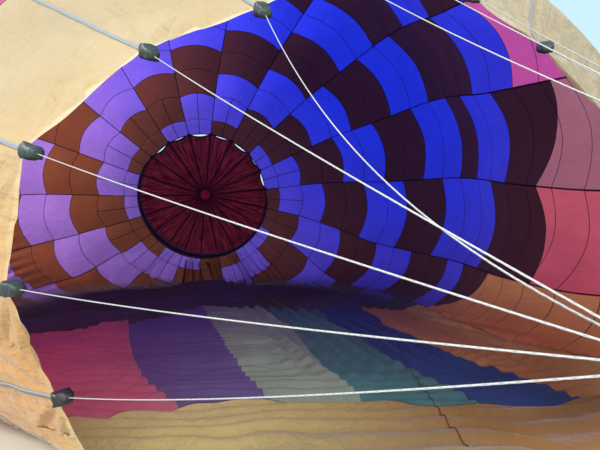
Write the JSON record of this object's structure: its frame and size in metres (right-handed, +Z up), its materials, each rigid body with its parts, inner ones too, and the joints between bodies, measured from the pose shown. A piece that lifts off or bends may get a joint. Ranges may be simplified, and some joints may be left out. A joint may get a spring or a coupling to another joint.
{
  "type": "hot air balloon envelope",
  "caption": "Balloon envelope lying on its side, half inflated and open at the mouth: gores, load tapes, parachute valve at the crown, flying wires and karabiners.",
  "frame": {"origin": "on the ground, under the middle of the whole part", "axes": "+Z up, +Y from the mouth to the crown as it lies, +X to the right as seen from the mouth"},
  "size_m": [13.5284, 18.7371, 10.1204],
  "materials": {
    "cloth_violet": "coated ripstop cloth, satin",
    "cloth_brown": "coated ripstop cloth, satin",
    "cloth_pink": "coated ripstop cloth, satin",
    "cloth_rose": "coated ripstop cloth, satin",
    "cloth_coral": "coated ripstop cloth, satin",
    "cloth_terracotta": "coated ripstop cloth, satin",
    "cloth_gold": "coated ripstop cloth, satin",
    "cloth_navy": "coated ripstop cloth, satin",
    "cloth_teal": "coated ripstop cloth, satin",
    "cloth_olive": "coated ripstop cloth, satin",
    "cloth_purple": "coated ripstop cloth, satin",
    "cloth_crimson": "coated ripstop cloth, satin",
    "cloth_cream": "flame-resistant cloth, matte",
    "tape_grey": "woven tape, matte",
    "steel": "plain steel, satin",
    "cloth_maroon": "coated ripstop cloth, satin",
    "tape_black": "woven tape, matte",
    "cloth_red": "coated ripstop cloth, satin",
    "line_white": "white line, satin",
    "line_dark_red": "braided line, matte"
  },
  "bodies": {
    "envelope": {"gore_00": "cloth_violet", "gore_01": "cloth_brown", "gore_02": "cloth_pink", "gore_03": "cloth_rose", "gore_04": "cloth_coral", "gore_05": "cloth_terracotta", "gore_06": "cloth_gold", "gore_07": "cloth_navy", "gore_08": "cloth_teal", "gore_09": "cloth_olive", "gore_10": "cloth_purple", "gore_11": "cloth_crimson", "gore_12": "cloth_gold", "gore_13": "cloth_terracotta", "gore_14": "cloth_coral", "gore_15": "cloth_rose", "gore_16": "cloth_pink", "gore_17": "cloth_violet", "gore_18": "cloth_navy", "gore_19": "cloth_teal", "mouth_cloth_1": "cloth_cream", "load_tapes_1": "tape_grey", "mouth_cloth_2": "cloth_cream", "load_tapes_2": "tape_grey", "mouth_cloth_3": "cloth_cream", "load_tapes_3": "tape_grey", "mouth_cloth_4": "cloth_cream", "load_tapes_4": "tape_grey", "crown_rim_tape": "tape_grey", "crown_tapes": "tape_grey", "crown_ring": "steel", "flying_wires_1": "line_white", "karabiner_1": "steel", "flying_wires_2": "line_white", "karabiner_2": "steel", "flying_wires_3": "line_white", "karabiner_3": "steel", "flying_wires_4": "line_white", "karabiner_4": "steel"},
    "valve": {"parachute_valve": "cloth_maroon", "valve_edge_tape": "tape_black", "valve_centre_patch": "cloth_red", "valve_lines": "tape_black", "vent_line": "line_dark_red", "vent_line_ring": "steel"},
    "gate_1": {"karabiner_gate_1": "steel"},
    "gate_2": {"karabiner_gate_2": "steel"},
    "gate_3": {"karabiner_gate_3": "steel"},
    "gate_4": {"karabiner_gate_4": "steel"}
  },
  "joints": [
    {"name": "valve_slide", "type": "slide", "parent": "envelope", "child": "valve", "axis": [0, -1, 0], "range_m": [0, 1]},
    {"name": "gate_hinge_1", "type": "hinge", "parent": "envelope", "child": "gate_1", "pos_m": [-0.2715, -9.3408, 1.48], "axis": [0, 0, 1], "range_deg": [0, 22], "stiffness_Nm_per_rad": 0.05},
    {"name": "gate_hinge_2", "type": "hinge", "parent": "envelope", "child": "gate_2", "pos_m": [0.5285, -9.3408, 1.73], "axis": [0, 0, 1], "range_deg": [0, 22], "stiffness_Nm_per_rad": 0.05},
    {"name": "gate_hinge_3", "type": "hinge", "parent": "envelope", "child": "gate_3", "pos_m": [0.7785, -9.3408, 0.93], "axis": [0, 0, 1], "range_deg": [0, 22], "stiffness_Nm_per_rad": 0.05},
    {"name": "gate_hinge_4", "type": "hinge", "parent": "envelope", "child": "gate_4", "pos_m": [-0.0215, -9.3408, 0.68], "axis": [0, 0, 1], "range_deg": [0, 22], "stiffness_Nm_per_rad": 0.05}
  ]
}
